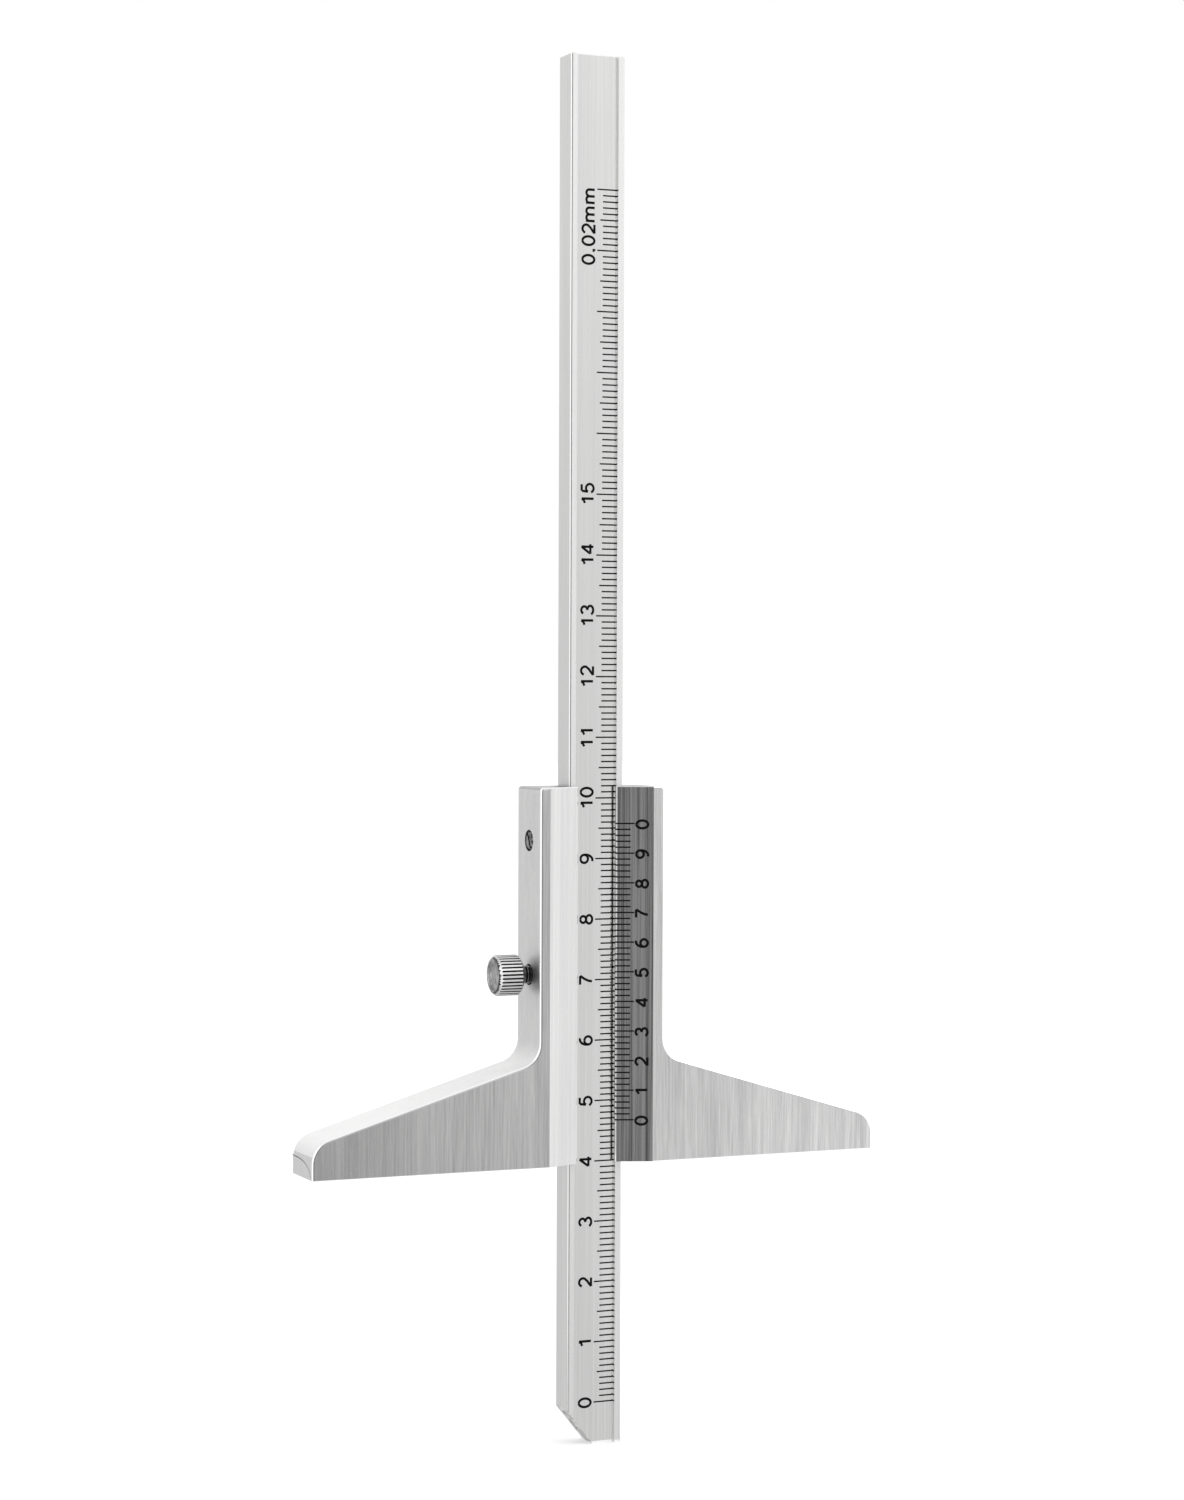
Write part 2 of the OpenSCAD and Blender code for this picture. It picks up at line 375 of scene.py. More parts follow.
def group_tree(
    name: str, takes: dict[str, float | None], gives: Iterable[str]
) -> tuple[NodeBench, dict[str, Socket], dict[str, Socket]]:
    """Starts a shader node group.

    Args:
        name: the group's name.
        takes: inputs with their default values; None makes a vector input.
        gives: names of the value outputs.

    Returns:
        The bench, the group's input sockets and its output sockets, both by name.
    """
    tree = bpy.data.node_groups.new(name, "ShaderNodeTree")
    for key, value in takes.items():
        kind = "NodeSocketVector" if value is None else "NodeSocketFloat"
        socket = tree.interface.new_socket(name=key, in_out="INPUT", socket_type=kind)
        if value is not None:
            socket.default_value = value
    for key in gives:
        tree.interface.new_socket(name=key, in_out="OUTPUT", socket_type="NodeSocketFloat")
    bench = NodeBench(tree)
    start = bench.add("NodeGroupInput")
    end = bench.add("NodeGroupOutput")
    return bench, {s.name: s for s in start.outputs}, {s.name: s for s in end.inputs}


@dataclass
class Effects:
    """The effects that several finishes share, each a node group built once."""

    streak_shares: tuple[tuple[str, float], ...] = (("Broad", 0.3), ("Coarse", 0.4), ("Fine", 0.3))
    streak_gain: float = 4.0
    grain_gain: float = 2.0
    smudge_gain: float = 2.5

    @cached_property
    def streaks(self) -> bpy.types.NodeTree:
        """Grinding lines that run along Z, broad, coarse and fine ones together.

        Returns:
            A group with the outputs Mask and Height.
        """
        sizes = {"Broad": 400.0, "Coarse": 900.0, "Fine": 4200.0}
        bench, takes, gives = group_tree(
            "grinding_streaks",
            {"Vector": None, **sizes, "Stretch": 0.02, "Contrast": 1.0},
            ("Mask", "Height"),
        )
        layers = []
        for size, share in self.streak_shares:
            along = bench.maths("MULTIPLY", takes[size], takes["Stretch"])
            scale = bench.add("ShaderNodeCombineXYZ", X=takes[size], Y=takes[size], Z=along)
            spread = bench.add("ShaderNodeVectorMath", operation="MULTIPLY")
            bench.feed(takes["Vector"], spread.inputs[0])
            bench.feed(scale.outputs[0], spread.inputs[1])
            noise = bench.add(
                "ShaderNodeTexNoise", Vector=spread.outputs[0], Scale=1.0, Detail=3.0, Roughness=0.6
            )
            layers.append(bench.maths("MULTIPLY", noise.outputs["Fac"], share))
        mixed = bench.maths("ADD", bench.maths("ADD", layers[0], layers[1]), layers[2])
        bench.feed(bench.contrasted(mixed, takes["Contrast"], self.streak_gain), gives["Mask"])
        bench.feed(mixed, gives["Height"])
        return bench.tree

    @cached_property
    def grain(self) -> bpy.types.NodeTree:
        """The fine even grain of a satin surface.

        Returns:
            A group with the outputs Mask and Height.
        """
        bench, takes, gives = group_tree(
            "satin_grain", {"Vector": None, "Scale": 5000.0, "Contrast": 1.0}, ("Mask", "Height")
        )
        given = {key: takes[key] for key in ("Vector", "Scale")}
        noise = bench.add("ShaderNodeTexNoise", **given, Detail=2.0, Roughness=0.5).outputs["Fac"]
        bench.feed(bench.contrasted(noise, takes["Contrast"], self.grain_gain), gives["Mask"])
        bench.feed(noise, gives["Height"])
        return bench.tree

    @cached_property
    def axis_depth(self) -> bpy.types.NodeTree:
        """How deep a point lies below the outside of a turned piece.

        Returns:
            A group with the output Mask, which goes from 0 at the radius Outer to 1 at Inner.
        """
        bench, takes, gives = group_tree(
            "axis_depth", {"Vector": None, "Inner": 0.003, "Outer": 0.0032}, ("Mask",)
        )
        parts = bench.split(takes["Vector"])
        radius = bench.distance(parts["Y"], parts["Z"])
        span = bench.maths("SUBTRACT", takes["Outer"], takes["Inner"])
        depth = bench.maths("SUBTRACT", takes["Outer"], radius)
        bench.feed(bench.maths("DIVIDE", depth, span, clamp=True), gives["Mask"])
        return bench.tree

    @cached_property
    def smudges(self) -> bpy.types.NodeTree:
        """Soft patches where hands and cloth have touched the metal.

        Returns:
            A group with the output Mask.
        """
        bench, takes, gives = group_tree(
            "handling_smudges", {"Vector": None, "Scale": 60.0, "Coverage": 0.5}, ("Mask",)
        )
        given = {key: takes[key] for key in ("Vector", "Scale")}
        noise = bench.add(
            "ShaderNodeTexNoise", **given, Detail=4.0, Roughness=0.55, Distortion=0.4
        ).outputs["Fac"]
        bare = bench.maths("SUBTRACT", 1.0, takes["Coverage"])
        touched = bench.maths("SUBTRACT", noise, bare)
        bench.feed(bench.mask(touched, self.smudge_gain), gives["Mask"])
        return bench.tree


EFFECTS = Effects()


def start_material(name: str) -> tuple[bpy.types.Material, NodeBench, bpy.types.Node]:
    """Starts a node material.

    Args:
        name: its name.

    Returns:
        The material, its bench and its Principled shader.
    """
    material = bpy.data.materials.new(name)
    material.use_nodes = True
    bench = NodeBench(material.node_tree)
    return material, bench, material.node_tree.nodes["Principled BSDF"]


@dataclass(frozen=True)
class Finish:
    """A finish, which becomes one material."""

    name: str

    def material(self) -> bpy.types.Material:
        """The finish as a material, built once.

        Returns:
            The material.
        """
        if self.name not in bpy.data.materials:
            _, bench, shader = start_material(self.name)
            place = bench.add("ShaderNodeTexCoord").outputs["Object"]
            self.wire(bench, shader.inputs, place)
        return bpy.data.materials[self.name]

    def wire(self, bench: NodeBench, shader: bpy.types.NodeInputs, place: Socket) -> None:
        """Wires the finish to its shader, in the way of each kind of finish."""
        raise NotImplementedError


@dataclass(frozen=True)
class Polish:
    """Painted highlight that brightens metal towards its foot, between two heights in mm, up to a
    share.
    """

    start: float
    end: float
    share: float
    colour: Colour = (0.98, 0.98, 0.975)

    def over(self, bench: NodeBench, place: Socket, plain: Socket) -> Socket:
        """Brightens a colour towards the foot as painted highlight, by the object coordinates."""
        span = (self.start * MM, self.end * MM, 0.0, self.share)
        return bench.blend(bench.ease(bench.split(place)["Z"], span), plain, self.colour)


@dataclass(frozen=True)
class Grime:
    """Painted shade on a turned piece, between the radii in mm where it is full and where it ends.
    """

    full: float
    none: float
    axis_y: float = 0.0
    axis_z: float = SCREW_HEIGHTS[0]
    colour: Colour = (0.02, 0.02, 0.021)

    def over(self, bench: NodeBench, place: Socket, unshaded: Socket) -> Socket:
        """Darkens a colour with painted shade.

        Args:
            bench: the material's bench.
            place: the object coordinates.
            unshaded: the colour without the painted shade.

        Returns:
            The socket of the shaded colour.
        """
        away = (0.0, -self.axis_y * MM, -self.axis_z * MM)
        centred = bench.add("ShaderNodeMapping", Vector=place, Location=away).outputs[0]
        radii = {"Inner": self.full * MM, "Outer": self.none * MM}
        depth = bench.effect(EFFECTS.axis_depth, Vector=centred, **radii)
        return bench.blend(depth["Mask"], unshaded, self.colour)


@dataclass(frozen=True)
class Metal(Finish):
    """A bare or plated metal finish."""

    dark: Colour
    light: Colour
    roughness: float = 0.35
    roughness_spread: float = 0.1
    broad: float = 500.0
    coarse: float = 900.0
    fine: float = 4200.0
    stretch: float = 0.02
    streak_contrast: float = 1.0
    streak_depth: float = 0.05
    grain_scale: float = 5000.0
    grain_depth: float = 0.02
    bump_distance: float = 0.00005
    smudge_scale: float = 60.0
    smudge: float = 0.05
    turned: bool = False
    polish: Polish | None = None
    # painted shade: a darkening by radius for the shade in grooves, thread roots and the knob's dish
    grime: Grime | None = None

    def wire(self, bench: NodeBench, shader: bpy.types.NodeInputs, place: Socket) -> None:
        """Wires streaks, grain and smudges to the shader.

        Args:
            bench: the material's bench.
            shader: the Principled shader's inputs.
            place: the object coordinates.
        """
        shader["Metallic"].default_value = 1.0
        along = place
        if self.turned:
            quarter = (0.0, math.radians(90), 0.0)
            along = bench.add("ShaderNodeMapping", Vector=place, Rotation=quarter).outputs[0]
        streaks = bench.effect(
            EFFECTS.streaks, Vector=along, Broad=self.broad, Coarse=self.coarse, Fine=self.fine,
            Stretch=self.stretch, Contrast=self.streak_contrast,
        )
        grain = bench.effect(EFFECTS.grain, Vector=place, Scale=self.grain_scale)
        smudges = bench.effect(EFFECTS.smudges, Vector=place, Scale=self.smudge_scale)

        colour = bench.blend(streaks["Mask"], self.dark, self.light)
        # The painted sheen is a painted highlight towards the foot; the painted shade darkens by
        # radius.
        for layer in filter(None, (self.polish, self.grime)):
            colour = layer.over(bench, place, colour)
        bench.feed(colour, shader["Base Color"])

        centred = bench.maths("SUBTRACT", streaks["Mask"], 0.5)
        swing = bench.maths("MULTIPLY", centred, -self.roughness_spread)
        dulled = bench.maths("MULTIPLY", smudges["Mask"], self.smudge)
        rough = bench.maths("ADD", bench.maths("ADD", swing, dulled), self.roughness, clamp=True)
        bench.feed(rough, shader["Roughness"])

        lines = bench.maths("MULTIPLY", streaks["Height"], self.streak_depth)
        pits = bench.maths("MULTIPLY", grain["Height"], self.grain_depth)
        height = bench.maths("ADD", lines, pits)
        bump = bench.add("ShaderNodeBump", Strength=1.0, Distance=self.bump_distance, Height=height)
        bench.feed(bump.outputs["Normal"], shader["Normal"])


@dataclass(frozen=True)
class Enamel(Finish):
    """Black filling that was wiped into engraved lines and numbers."""

    fresh: Colour = grey(0.002)
    worn: Colour = grey(0.008)
    roughness: float = 0.6
    specular: float = 0.08
    grain_scale: float = 2200.0

    def wire(self, bench: NodeBench, shader: bpy.types.NodeInputs, place: Socket) -> None:
        """Wires the grain of the filling to the shader.

        Args:
            bench: the material's bench.
            shader: the Principled shader's inputs.
            place: the object coordinates.
        """
        shader["Specular IOR Level"].default_value = self.specular
        shader["Roughness"].default_value = self.roughness
        grain = bench.effect(EFFECTS.grain, Vector=place, Scale=self.grain_scale)
        bench.feed(bench.blend(grain["Mask"], self.fresh, self.worn), shader["Base Color"])


GROUND_STEEL = Metal(
    "ground_steel", grey(0.55), grey(0.82, WARM), roughness=0.26, broad=300.0, coarse=2600.0,
    fine=8000.0, streak_contrast=1.3, streak_depth=0.12, smudge=0.08,
)
END_STEEL = Metal(
    "satin_end_steel", grey(0.62), grey(0.76, WARM), roughness=0.4, broad=250.0, coarse=1500.0,
    fine=6000.0, stretch=0.2, streak_contrast=0.6, grain_depth=0.06, smudge=0.06,
)
# Painted highlight: the side steel is painted brighter from 70 mm down to 54 mm, on the arms'
# slopes, fillets and lower sides.
SIDE_STEEL_PAINTED_SHEEN = replace(END_STEEL, name="satin_side_steel_painted_sheen", polish=Polish(70.0, 54.0, 0.62))
TOP_STEEL = Metal(
    "slider_top_steel", grey(0.4), grey(0.5, WARM), roughness=0.36, streak_contrast=0.5, smudge=0.06
)
# Painted highlight: the lip's edge face is painted near white for the bright line along the lip.
LIP_STEEL_PAINTED_HIGHLIGHT = Metal("lip_steel_painted_highlight", grey(0.94), grey(1.0), roughness=0.3, streak_contrast=0.3)
# Painted shade: the faces under the lips, towards the beam, are painted near black.
CHANNEL_STEEL_PAINTED_SHADE = Metal(
    "channel_steel_painted_shade", grey(0.03), grey(0.1), roughness=0.5, streak_contrast=0.5
)
BEVEL_STEEL = Metal(
    "ground_bevel_steel", grey(0.66), grey(0.78, WARM), roughness=0.24, coarse=2600.0, fine=7000.0,
    stretch=0.006, streak_depth=0.1,
)
VERNIER_STEEL = Metal(
    "vernier_bevel_steel", grey(0.26), grey(1.0, WARM), roughness=0.2, broad=450.0, coarse=2600.0,
    fine=7000.0, stretch=0.006, streak_contrast=1.8, streak_depth=0.5,
)
# Painted highlight: the rounded edges of the slider and base are painted lighter than the ground
# steel, for bright edge lines.
EDGE_STEEL_PAINTED_HIGHLIGHT = Metal(
    "edge_steel_painted_highlight", grey(0.86), grey(0.93), roughness=0.2, streak_contrast=0.3,
    streak_depth=0.01, grain_depth=0.01,
)
SATIN_CHROME = Metal(
    "satin_chrome", grey(0.86, WARM), grey(0.97, WARM), roughness=0.15, roughness_spread=0.04,
    broad=700.0, coarse=2400.0, fine=7000.0, stretch=0.006, streak_contrast=0.9, streak_depth=0.02,
    smudge=0.03,
)
SIDE_CHROME = Metal(
    "satin_side_chrome", grey(0.64, WARM), grey(0.74, WARM), roughness=0.36, broad=700.0,
    coarse=2400.0, fine=7000.0, stretch=0.006, streak_contrast=0.9, streak_depth=0.06,
    grain_depth=0.05,
)
BROKEN_EDGE_CHROME = replace(
    EDGE_STEEL_PAINTED_HIGHLIGHT, name="broken_edge_chrome", dark=grey(0.68), light=grey(0.76)
)
WORN_FOOT_CHROME = Metal(
    "worn_foot_chrome", grey(0.2), grey(0.85, WARM), roughness=0.3, broad=350.0, fine=2400.0,
    stretch=0.9, streak_contrast=1.6, streak_depth=0.2,
)
RAIL_CHROME = Metal(
    "bright_rail_chrome", grey(0.88, WARM), grey(0.97, WARM), roughness=0.5, coarse=4000.0,
    fine=9000.0, stretch=0.006, streak_contrast=0.8, streak_depth=0.08,
)
# Painted shade: the recess walls are painted a little darker than the scale face, as shade in the
# recess.
WALL_CHROME_PAINTED_SHADE = Metal(
    "recess_wall_chrome_painted_shade", grey(0.78, WARM), grey(0.84, WARM), roughness=0.7, streak_contrast=0.3
)
# Painted shade: the bottoms of the knurl's grooves are painted dark.
KNURLED_STEEL = Metal(
    "bright_knurled_steel_painted_groove_shade", grey(0.82), grey(0.92, WARM), roughness=0.55, turned=True,
    streak_contrast=0.6, grime=Grime(3.325, 3.35),
)
KNOB_RIM_STEEL = Metal(
    "turned_knob_rim_steel", grey(0.6), grey(0.74), roughness=0.25, turned=True
)
# Painted shade: a dark crescent is painted round one side of the dished end, for the dish's shade.
KNOB_END_STEEL = Metal(
    "turned_knob_end_steel_painted_crescent_shade", grey(0.16), grey(0.56), roughness=0.28, broad=700.0, coarse=1500.0,
    stretch=0.8, streak_contrast=1.2, streak_depth=0.3, smudge_scale=500.0, smudge=0.2,
    grime=Grime(3.1, 2.6, axis_y=0.55),
)
# Oiled dark steel, with painted shade in the thread's roots.
THREAD_STEEL = Metal(
    "oiled_thread_steel_painted_root_shade", grey(0.12), grey(0.4), roughness=0.2, turned=True, grime=Grime(1.28, 1.5)
)
WITNESS_STEEL = Metal("dull_witness_steel", grey(0.1), grey(0.2), roughness=0.4, turned=True)
# Painted shade: the adjusting screw deep in its hole is painted dark, with strong streaks.
SUNK_SCREW_STEEL_PAINTED_SHADE = Metal(
    "sunk_screw_steel_painted_shade", grey(0.01), grey(0.3), roughness=0.3, broad=900.0, coarse=2400.0,
    stretch=0.9, streak_contrast=3.0, streak_depth=0.2,
)
# Painted shade: the inside of the tapped hole is painted near black.
HOLE_STEEL_PAINTED_SHADE = Metal(
    "tapped_hole_steel_painted_shade", grey(0.01), grey(0.05), roughness=0.5, turned=True
)
SPRING_STRIP = Metal(
    "blue_grey_spring_strip", (0.36, 0.38, 0.42), (0.52, 0.54, 0.58), roughness=0.32
)
TURNED_BRASS = Metal(
    "turned_brass", (0.6, 0.42, 0.17), (0.78, 0.58, 0.27), roughness=0.3, turned=True
)
FILLING = Enamel("black_filling")


def dress(piece: Piece, slot: Slot, *finishes: Finish) -> None:
    """Puts finishes on a piece.

    Args:
        piece: the object.
        slot: not used.
        finishes: the finishes, in the order of the piece's material indexes.
    """
    piece.data.materials.clear()
    for finish in finishes:
        piece.data.materials.append(finish.material())


def dress_faces(
    piece: Piece, slot: Slot, main_finish: Finish, others: dict[Finish, list[Rule]]
) -> None:
    """Puts one finish on a piece, and others on the faces that their rules fit.

    Args:
        piece: the mesh.
        slot: the record's slot.
        main_finish: the finish of all other faces.
        others: rules by finish, the rounded edges' finish first. The last that fits holds.
    """
    dress(piece, slot, main_finish, *others)
    for face in piece.data.polygons:
        lie = face.normal
        facing = {"nx": lie.x, "ny": lie.y, "nz": lie.z, "lean": abs(lie.x)}
        measures = point_measures(face.center / MM) | facing
        for index, rules in enumerate(others.values(), start=EDGE_FINISH):
            if any(fits(measures, rule) for rule in rules):
                face.material_index = index


# The gauge's sub-assemblies.


@dataclass
class SliderAndBase:
    """The one-piece slider and base, with rounded edges and brushed bevels."""

    nodes: dict[str, Piece]
    half_depth: float = 5.0
    half_base: float = 50.0
    face_z: float = 46.8
    top_z: float = 108.8
    rim_x: float = 9.2
    lip_x: float = 3.42
    lip_front: float = -2.78
    lip_back: float = -2.2
    hole_radius: float = 1.85
    hole_mouth: float = -4.0
    edge_round: float = 0.4
    right_round: float = 0.15
    foot_round: float = 0.1
    rim_round: float = 0.08
    lip_round: float = 0.15
    top_round: float = 0.12
    arm_margin: float = 0.5
    lip_margin: float = 0.05
    channel_margin: float = 0.1
    top_zone: float = 1.0
    facet_angle: float = 14.0

    def build(self) -> Piece:
        """Makes and dresses the piece.

        Returns:
            The finished piece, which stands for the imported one.
        """
        piece = merged_copy(self.nodes["slider_base"], "slider_and_base")
        dress_faces(piece, Slot.BODY, GROUND_STEEL, self.finishes())
        counts = {kind: rounding.apply(piece) for kind, rounding in self.roundings().items()}
        smooth(piece, self.facet_angle)
        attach(piece, "slider")
        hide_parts("slider_base")
        LOG.info("slider_and_base: edges rounded %s", counts)
        return piece

    def finishes(self) -> dict[Finish, list[Rule]]:
        """The faces of each further finish.

        Returns:
            Rules by finish, the rounded edges' finish first.
        """
        bevel = {"away": under(self.rim_x), "lean": (0.2, 0.6), "ny": under(-0.7), "nz": LEVEL}
        outline = {"ny": LEVEL, "nz": over(-0.5)}
        hole = {"radius": under(self.hole_radius), "x": under(self.hole_mouth)}
        lip = {"away": at(self.lip_x), "y": over(self.lip_front - TOLERANCE)}
        channel = {"away": under(self.rim_x), "y": under(self.lip_back + self.channel_margin)}
        return {
            EDGE_STEEL_PAINTED_HIGHLIGHT: [],
            BEVEL_STEEL: [bevel],
            VERNIER_STEEL: [bevel | {"x": over(0.0)}],
            SIDE_STEEL_PAINTED_SHEEN: [
                outline | {"away": over(self.rim_x + self.arm_margin)},
                outline | {"z": over(self.top_z - self.lip_margin)},
            ],
            HOLE_STEEL_PAINTED_SHADE: [hole | {"lean": under(0.95)}],
            END_STEEL: [{"away": over(self.half_base - self.arm_margin), "lean": over(0.97)}],
            TOP_STEEL: [{"z": over(self.top_z - self.top_zone), "nz": over(0.3)}],
            LIP_STEEL_PAINTED_HIGHLIGHT: [lip | {"lean": over(STRAIGHT)}],
            CHANNEL_STEEL_PAINTED_SHADE: [channel | {"ny": over(STRAIGHT)}],
        }

    def roundings(self) -> dict[str, Rounding]:
        """The edges that are rounded, in their order.

        Returns:
            Roundings by the kind of edge.
        """
        front, back = ({"y": at(y)} for y in (-self.half_depth, self.half_depth))
        above = {"peak": over(self.face_z + TOLERANCE)}
        face = {"z": at(self.face_z)}
        end = {"away": over(self.half_base - self.arm_margin)}
        rim = {"away": at(self.rim_x)}
        lip = {"away": at(self.lip_x), "y": at(self.lip_front)}
        top = {"away": over(self.lip_x + self.lip_margin), "y": under(self.lip_front)}
        left, right = {"x": under(0.0)}, {"x": over(0.0)}
        return {
            "rim": Rounding((rim | front,), self.rim_round, segments=2, sharp=0.0),
            "lip": Rounding((lip,), self.lip_round, segments=1),
            "outline": Rounding((above | back, above | front | left), self.edge_round, segments=3),
            "right outline": Rounding((above | front | right,), self.right_round, segments=2),
            "foot": Rounding((face | front, face | back, face | end), self.foot_round, segments=1),
            "top": Rounding((top | {"z": at(self.top_z)},), self.top_round, segments=2),
        }


@dataclass
class GraduatedBeam:
    """The beam, with smooth long edges and rounded ends, and the filling of its lines."""

    nodes: dict[str, Piece]
    half_width: float = 4.8
    rail_front: float = -2.2
    wall_inset: float = 0.5
    wall_back: float = -1.5
    top_z: float = 228.9
    foot_height: float = 10.0
    end_round: float = 0.2
    rail_round: float = 0.08
    chamfer_zone: float = 0.15
    side_zone: float = 0.05
    rail_zone: float = 0.3
    facet_angle: float = 20.0

    def build(self) -> list[Piece]:
        """Makes and dresses the pieces.

        Returns:
            The beam and its filling.
        """
        beam = merged_copy(self.nodes["beam"], "graduated_beam")
        dress_faces(beam, Slot.BEAM, SATIN_CHROME, self.finishes())
        rail = {"away": over(self.half_width - self.rail_zone), "y": at(self.rail_front)}
        ends = Rounding(({"z": at(self.top_z)},), self.end_round, segments=2, finish=0).apply(beam)
        rails = Rounding((rail,), self.rail_round, segments=1).apply(beam)
        smooth(beam, self.facet_angle)
        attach(beam, "beam")
        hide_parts("beam")
        LOG.info("graduated_beam: %d end and %d rail edges rounded", ends, rails)
        filling = self.nodes["beam_scale_lines"]
        dress(filling, Slot.ENAMEL, FILLING)
        LOG.info("beam_scale_lines: filled")
        return [beam, filling]

    def finishes(self) -> dict[Finish, list[Rule]]:
        """The faces of each further finish.

        Returns:
            Rules by finish, the broken long edges' finish first.
        """
        chamfer = {"away": over(self.half_width - self.chamfer_zone), "nz": LEVEL}
        rail = {"y": under(self.rail_front + TOLERANCE), "ny": under(-STRAIGHT)}
        wall = {"away": under(self.half_width - self.wall_inset), "y": under(self.wall_back)}
        side = {"away": over(self.half_width - self.side_zone)}
        foot = {"z": under(self.foot_height), "nx": under(-0.3), "nz": under(-0.3)}
        return {
            BROKEN_EDGE_CHROME: [chamfer | {"lean": (0.6, 0.8)}],
            RAIL_CHROME: [rail],
            WALL_CHROME_PAINTED_SHADE: [wall | {"lean": over(STRAIGHT)}],
            SIDE_CHROME: [side | {"lean": over(STRAIGHT)}],
            WORN_FOOT_CHROME: [foot],
        }


@dataclass
class KnurledLockScrew:
    """The lock screw, with a bright knurl, painted shade in its grooves and thread roots, and an
    oiled thread.
    """

    nodes: dict[str, Piece]
    thread_radius: float = 1.7
    head_radius: float = 3.35
    head_near: float = -12.85
    head_far: float = -17.25
    thread_margin: float = 0.05
    chamfer_zone: float = 0.6
    end_inset: float = 0.35
    end_depth: float = 0.2
    facet_angle: float = 30.0

    def build(self) -> Piece:
        """Makes and dresses the piece.

        Returns:
            The finished piece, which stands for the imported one.
        """
        piece = merged_copy(self.nodes["lock_screw"], "knurled_lock_screw")
        outer = {"radius": over(self.head_radius - self.chamfer_zone)}
        below_head = over(self.head_near + self.thread_margin)
        thread = {"radius": under(self.thread_radius), "x": below_head}
        inner = {"radius": under(self.head_radius - self.end_inset)}
        dished = {"x": under(self.head_far + self.end_depth), "nx": under(-0.3)}
        others = {
            KNOB_RIM_STEEL: [outer | {"lean": (0.3, 0.9)}],
            THREAD_STEEL: [thread],
            KNOB_END_STEEL: [inner | dished],
        }
        dress_faces(piece, Slot.KNURL, KNURLED_STEEL, others)
        smooth(piece, self.facet_angle)
        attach(piece, "locking_screw")
        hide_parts("lock_screw")
        LOG.info("knurled_lock_screw: dressed")
        return piece


@dataclass
class ClampParts:
    """The lock screw's shoe, the gib spring and its adjusting screw."""

    nodes: dict[str, Piece]

    def build(self) -> list[Piece]:
        """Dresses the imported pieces.

        Returns:
            The pieces.
        """
        finishes = {
            "lock_shoe": (Slot.BRASS, TURNED_BRASS),
            "gib_spring": (Slot.SPRING, SPRING_STRIP),
            "gib_adjusting_screw": (Slot.SCREW, SUNK_SCREW_STEEL_PAINTED_SHADE),
        }
        for name, (slot, finish) in finishes.items():
            dress(self.nodes[name], slot, finish)
            LOG.info("%s: dressed", name)
        return [self.nodes[name] for name in finishes]


# Numbers and fine lines, drawn as round strokes and flattened.


def arc(
    cx: float, cy: float, rx: float, ry: float, start: float, end: float, steps: int = 14
) -> Stroke:
    """Points along part of an ellipse: its centre and radii, two angles in degrees, and steps."""
    turn = [math.radians(start + (end - start) * i / steps) for i in range(steps + 1)]
    return [(cx + rx * math.cos(t), cy + ry * math.sin(t)) for t in turn]


def glyph_strokes() -> dict[str, tuple[float, list[Stroke]]]:
    """The strokes of each glyph, on a cap height of 1, with the glyph's advance.

    Returns:
        Advance and strokes, by character.
    """
    wide = 0.83
    return {
        "0": (wide, [arc(0.415, 0.5, 0.3, 0.455, 90, 450, 28)]),
        "1": (wide, [[(0.5, 0.04), (0.5, 0.96)], [(0.49, 0.95), (0.4, 0.8), (0.19, 0.7)]]),
        "2": (wide, [
            arc(0.415, 0.67, 0.285, 0.285, 165, -35) + [(0.5, 0.34), (0.25, 0.16), (0.12, 0.045)],
            [(0.1, 0.045), (0.72, 0.045)],
        ]),
        "3": (wide, [
            arc(0.4, 0.725, 0.255, 0.23, 160, -90),
            arc(0.4, 0.27, 0.3, 0.225, 90, -165, 16),
        ]),
        "4": (wide, [
            [(0.57, 0.04), (0.57, 0.96)],
            [(0.57, 0.95), (0.09, 0.29)],
            [(0.07, 0.275), (0.75, 0.275)],
        ]),
        "5": (wide, [
            [(0.67, 0.955), (0.22, 0.955)],
            [(0.22, 0.955), (0.16, 0.47)],
            [(0.16, 0.47)] + arc(0.4, 0.335, 0.3, 0.29, 125, -160, 18),
        ]),
        "6": (wide, [
            arc(0.42, 0.33, 0.285, 0.285, 90, 450, 22),
            arc(0.5, 0.42, 0.37, 0.535, 75, 190),
        ]),
        "7": (wide, [
            [(0.1, 0.955), (0.72, 0.955)],
            [(0.72, 0.95), (0.5, 0.62), (0.36, 0.32), (0.31, 0.04)],
        ]),
        "8": (wide, [
            arc(0.415, 0.735, 0.235, 0.22, 90, 450, 20),
            arc(0.415, 0.28, 0.295, 0.235, 90, 450, 22),
        ]),
        "9": (wide, [
            arc(0.41, 0.67, 0.285, 0.285, 90, 450, 22),
            arc(0.33, 0.58, 0.37, 0.535, -105, 10),
        ]),
        ".": (0.48, [[(0.2, 0.04), (0.28, 0.04), (0.28, 0.12), (0.2, 0.12), (0.2, 0.04)]]),
        "m": (1.27, [
            [(0.14, 0.03), (0.14, 0.7)],
            arc(0.365, 0.46, 0.225, 0.2, 180, 0, 10) + [(0.59, 0.03)],
            arc(0.835, 0.46, 0.225, 0.2, 180, 0, 10) + [(1.06, 0.03)],
        ]),
    }


GLYPHS = glyph_strokes()


